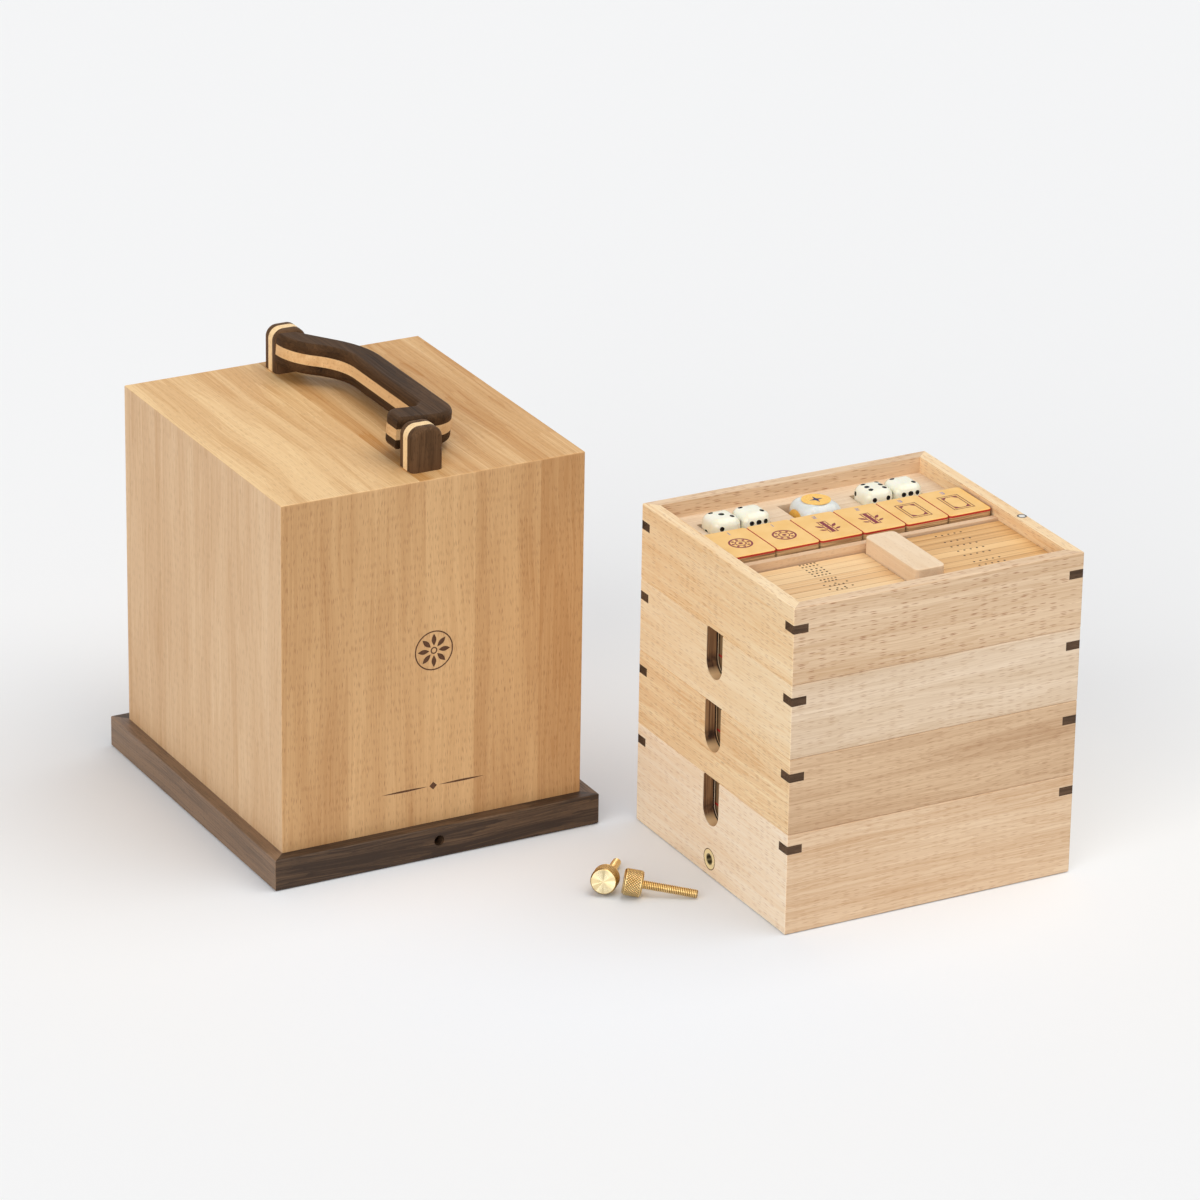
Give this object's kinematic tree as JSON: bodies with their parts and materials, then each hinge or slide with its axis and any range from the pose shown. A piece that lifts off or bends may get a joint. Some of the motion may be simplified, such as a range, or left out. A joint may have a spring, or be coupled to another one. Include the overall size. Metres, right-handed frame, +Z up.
{
  "type": "tile game case",
  "caption": "Wooden case for a tile game: stacked lift-off trays, a tall cover with a folding carry handle that drops over them, and thumbscrews that lock it.",
  "frame": {"origin": "on the floor, under the middle of the box round the whole layout: the cover standing beside the stack of trays", "axes": "+X to the right along the fronts, +Y to the back, +Z up"},
  "size_m": [0.482, 0.4668, 0.2958],
  "materials": {
    "cover_beech": "satin",
    "walnut": "satin",
    "handle_beech": "satin",
    "tray_maple": "satin",
    "tray_lining": "satin",
    "zinc": "yellow zinc plate",
    "steel": "satin",
    "brass": "turned and knurled",
    "tile": "matte, engraved faces",
    "die_white": "gloss",
    "wind_die_white": "gloss",
    "stick": "matte"
  },
  "bodies": {
    "bottom_tray": {"bottom_tray_front_wall": "tray_maple", "bottom_tray_back_wall": "tray_maple", "bottom_tray_left_wall": "tray_maple", "bottom_tray_right_wall": "tray_maple", "bottom_tray_floor": "tray_lining", "bottom_tray_corner_keys": "walnut", "threaded_inserts": "zinc", "insert_blocks": "tray_lining", "bottom_tray_tiles": "tile"},
    "middle_tray": {"middle_tray_front_wall": "tray_maple", "middle_tray_back_wall": "tray_maple", "middle_tray_left_wall": "tray_maple", "middle_tray_right_wall": "tray_maple", "middle_tray_floor": "tray_lining", "middle_tray_corner_keys": "walnut", "middle_tray_tiles": "tile"},
    "upper_tray": {"upper_tray_front_wall": "tray_maple", "upper_tray_back_wall": "tray_maple", "upper_tray_left_wall": "tray_maple", "upper_tray_right_wall": "tray_maple", "upper_tray_floor": "tray_lining", "upper_tray_corner_keys": "walnut", "upper_tray_tiles": "tile"},
    "top_tray": {"top_tray_front_wall": "tray_maple", "top_tray_back_wall": "tray_maple", "top_tray_left_wall": "tray_maple", "top_tray_right_wall": "tray_maple", "top_tray_floor": "tray_lining", "top_tray_corner_keys": "walnut", "dice_block": "tray_lining", "packing_boards": "tray_lining", "stick_rail": "tray_lining", "rim_stud": "steel"},
    "hood": {"hood_front_panel": "cover_beech", "hood_back_panel": "cover_beech", "hood_left_panel": "cover_beech", "hood_right_panel": "cover_beech", "hood_top_panel": "cover_beech", "skirt_front_rail": "walnut", "skirt_back_rail": "walnut", "skirt_left_rail": "walnut", "skirt_right_rail": "walnut", "front_post_cheeks": "walnut", "front_post_core": "handle_beech", "back_post_cheeks": "walnut", "back_post_core": "handle_beech", "pivot_pins": "steel", "post_screws": "steel"},
    "grip": {"grip_top_layer": "walnut", "grip_core_layer": "handle_beech", "grip_bottom_layer": "walnut"},
    "left_thumbscrew": {"left_thumbscrew": "brass"},
    "right_thumbscrew": {"right_thumbscrew": "brass"},
    "left_dice": {"left_dice": "die_white"},
    "right_dice": {"right_dice": "die_white"},
    "wind_die": {"wind_die": "wind_die_white"},
    "spare_tiles": {"spare_tiles": "tile"},
    "left_sticks": {"left_sticks": "stick"},
    "right_sticks": {"right_sticks": "stick"},
    "divider_block": {"divider_block": "walnut"}
  },
  "joints": [
    {"name": "middle_tray_lift", "type": "slide", "parent": "bottom_tray", "child": "middle_tray", "axis": [0, 0, 1], "range_m": [0, 0.06]},
    {"name": "upper_tray_lift", "type": "slide", "parent": "middle_tray", "child": "upper_tray", "axis": [0, 0, 1], "range_m": [0, 0.06]},
    {"name": "top_tray_lift", "type": "slide", "parent": "upper_tray", "child": "top_tray", "axis": [0, 0, 1], "range_m": [0, 0.06]},
    {"name": "hood_lift", "type": "slide", "parent": "bottom_tray", "child": "hood", "axis": [0, 0, 1], "range_m": [0, 0.24]},
    {"name": "handle_swing", "type": "hinge", "parent": "hood", "child": "grip", "pos_m": [-0.1197, 0.1024, 0.2841], "axis": [0, -1, 0], "range_deg": [-7.5, 196]},
    {"name": "left_thumbscrew_lift", "type": "slide", "parent": "bottom_tray", "child": "left_thumbscrew", "axis": [0, 0, 1], "range_m": [0, 0.06]},
    {"name": "right_thumbscrew_lift", "type": "slide", "parent": "bottom_tray", "child": "right_thumbscrew", "axis": [0, 0, 1], "range_m": [0, 0.06]},
    {"name": "left_dice_lift", "type": "slide", "parent": "top_tray", "child": "left_dice", "axis": [0, 0, 1], "range_m": [0, 0.06]},
    {"name": "right_dice_lift", "type": "slide", "parent": "top_tray", "child": "right_dice", "axis": [0, 0, 1], "range_m": [0, 0.06]},
    {"name": "wind_die_lift", "type": "slide", "parent": "top_tray", "child": "wind_die", "axis": [0, 0, 1], "range_m": [0, 0.06]},
    {"name": "spare_tiles_lift", "type": "slide", "parent": "top_tray", "child": "spare_tiles", "axis": [0, 0, 1], "range_m": [0, 0.06]},
    {"name": "left_sticks_lift", "type": "slide", "parent": "top_tray", "child": "left_sticks", "axis": [0, 0, 1], "range_m": [0, 0.06]},
    {"name": "right_sticks_lift", "type": "slide", "parent": "top_tray", "child": "right_sticks", "axis": [0, 0, 1], "range_m": [0, 0.06]},
    {"name": "divider_block_lift", "type": "slide", "parent": "top_tray", "child": "divider_block", "axis": [0, 0, 1], "range_m": [0, 0.06]}
  ]
}
